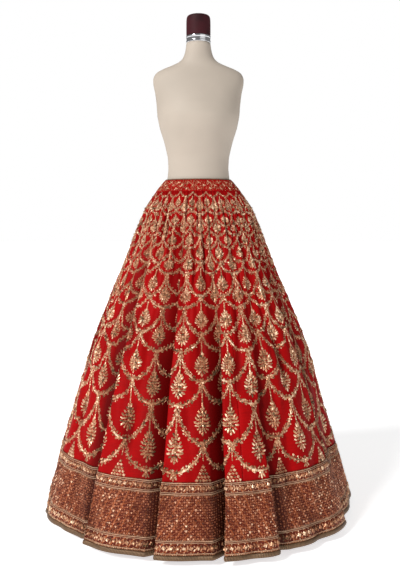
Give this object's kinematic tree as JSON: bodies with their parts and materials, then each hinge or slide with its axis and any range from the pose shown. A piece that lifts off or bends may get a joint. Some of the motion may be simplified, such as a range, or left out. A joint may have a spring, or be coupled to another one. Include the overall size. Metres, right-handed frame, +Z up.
{
  "type": "lehenga skirt on a limbless dress form",
  "caption": "Flared floor-length bridal lehenga skirt in embroidered red silk with a deep gold border, standing filled out on a limbless dress form.",
  "frame": {"origin": "centre of the round base's underside, on the surface that the stand rests on", "axes": "+Z up the dress form, the skirt's front faces -Y, and +X is to the viewer's right as seen from the front"},
  "size_m": [1.0366, 1.0321, 1.676],
  "materials": {
    "silk": "raw silk with a soft sheen",
    "border": "dense metallic thread and sequin embroidery",
    "edging": "antique gold cord",
    "gold_thread": "antique gold thread, raised",
    "form": "smooth cream, matte",
    "cap": "dark wine velvet",
    "chrome": "polished",
    "stand": "satin black"
  },
  "bodies": {
    "root": {"kali_01": "silk", "kali_02": "silk", "kali_03": "silk", "kali_04": "silk", "kali_05": "silk", "kali_06": "silk", "kali_07": "silk", "kali_08": "silk", "kali_09": "silk", "kali_10": "silk", "kali_11": "silk", "waistband": "silk", "waist_piping": "edging", "border_upper_band": "border", "border_main_band": "border", "border_lower_band": "border", "hem_piping": "edging", "form_torso": "form", "form_neck_ring": "chrome", "form_neck_cap": "cap", "stand_pole": "stand", "stand_base": "stand"}
  },
  "joints": []
}
